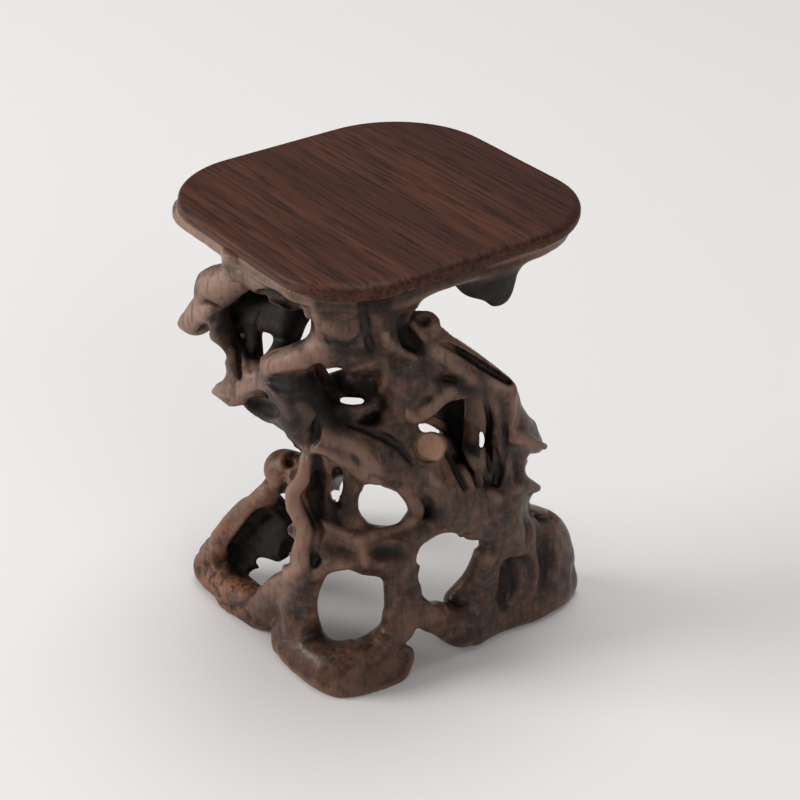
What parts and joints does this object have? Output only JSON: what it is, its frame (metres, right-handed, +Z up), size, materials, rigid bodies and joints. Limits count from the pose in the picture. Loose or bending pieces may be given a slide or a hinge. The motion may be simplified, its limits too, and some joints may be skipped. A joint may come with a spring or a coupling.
{
  "type": "carved wood display stand",
  "caption": "Carved openwork hardwood display stand: a flat rounded-square top board over a moulded apron, carried on gnarled root-like limbs that branch down into broad feet.",
  "frame": {"origin": "on the floor under the middle of the stand", "axes": "+Z up; the board's grain runs along X; the front corner of the picture points to +X -Y"},
  "size_m": [0.102, 0.1063, 0.14],
  "materials": {
    "board_wood": "waxed, satin",
    "carved_wood": "waxed, satin",
    "pale_wood": "worn wax",
    "end_grain": "bare end grain",
    "dowel_wood": "bare"
  },
  "bodies": {
    "root": {"top_board": "board_wood", "apron": "carved_wood", "board_dowels": "dowel_wood", "post_dowels": "dowel_wood", "limb_dowels": "dowel_wood", "neck_post": "carved_wood", "apron_skirt": "carved_wood", "apron_drop": "carved_wood", "cross_limb": "pale_wood", "front_strand": "carved_wood", "side_strand": "carved_wood", "knob_arm": "pale_wood", "knob_blade": "pale_wood", "hollow_wall": "carved_wood", "hollow_post": "carved_wood", "under_strand": "carved_wood", "throat_limb": "carved_wood", "trunk": "carved_wood", "spur_arm": "carved_wood", "curl_knob": "carved_wood", "slot_limb": "carved_wood", "inner_limb": "carved_wood", "cut_stub": "end_grain", "back_post": "carved_wood", "back_leg": "carved_wood", "rope_leg": "carved_wood", "stretcher": "carved_wood", "arch_post": "carved_wood", "arch_wall": "carved_wood", "pouch_rib": "pale_wood", "pouch_wall": "carved_wood", "pouch_sole": "pale_wood", "sill_left_post": "carved_wood", "sill_right_post": "carved_wood", "sill": "pale_wood", "toe_limb": "carved_wood", "right_post": "carved_wood", "right_foot": "carved_wood"}
  },
  "joints": []
}
